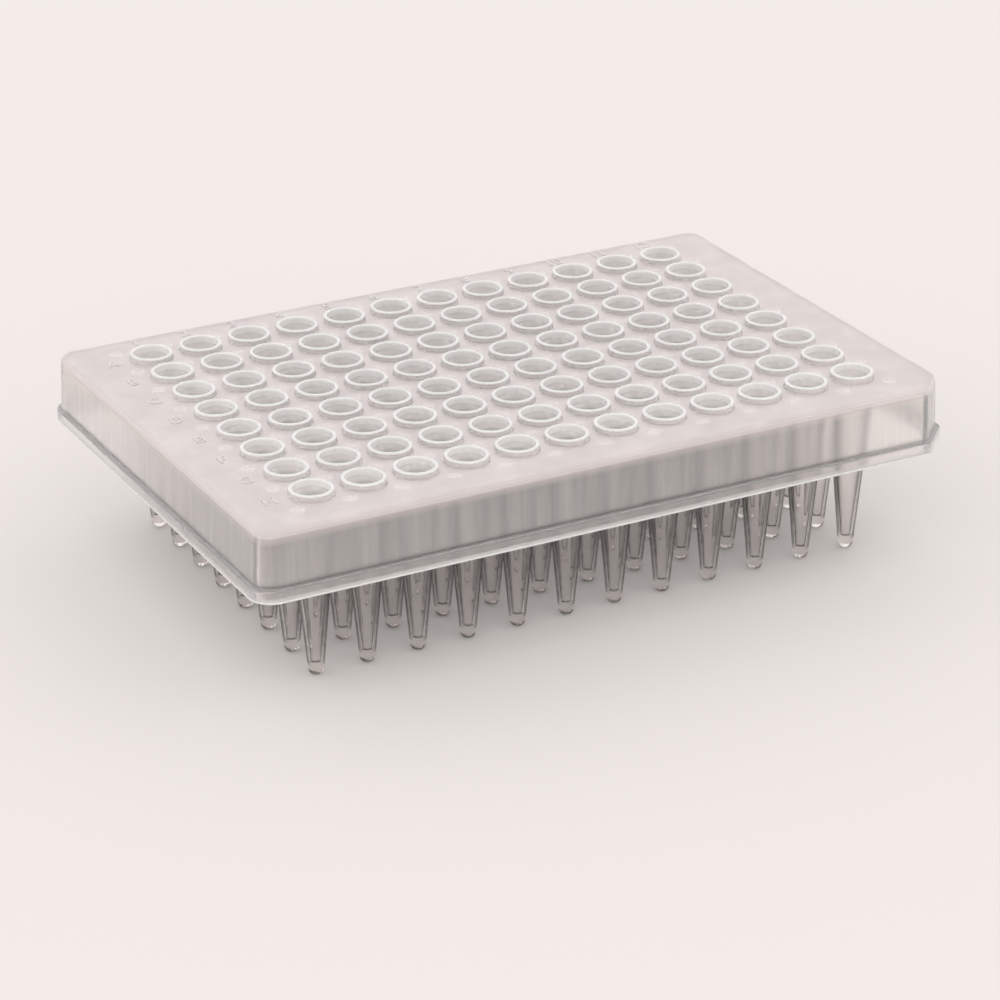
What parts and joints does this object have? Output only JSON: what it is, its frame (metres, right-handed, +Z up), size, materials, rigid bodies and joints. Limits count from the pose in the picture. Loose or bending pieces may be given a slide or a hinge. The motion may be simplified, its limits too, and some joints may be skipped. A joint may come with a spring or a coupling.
{
  "type": "well plate",
  "caption": "Rectangular laboratory plate with a grid of tall tapering wells hanging from a flat deck inside a short skirt, one corner cut off.",
  "frame": {"origin": "under the middle of the footprint, at the level of the well tips, which the plate stands on", "axes": "+X along the rows of wells from column 1 to column 12, +Y from row H at the front to row A at the back, +Z up out of the well mouths"},
  "size_m": [0.1278, 0.0854, 0.0322],
  "materials": {
    "natural_plastic": "cloudy translucent moulded polypropylene, glossy on the wells"
  },
  "bodies": {
    "root": {"well_plate": "natural_plastic"}
  },
  "joints": []
}
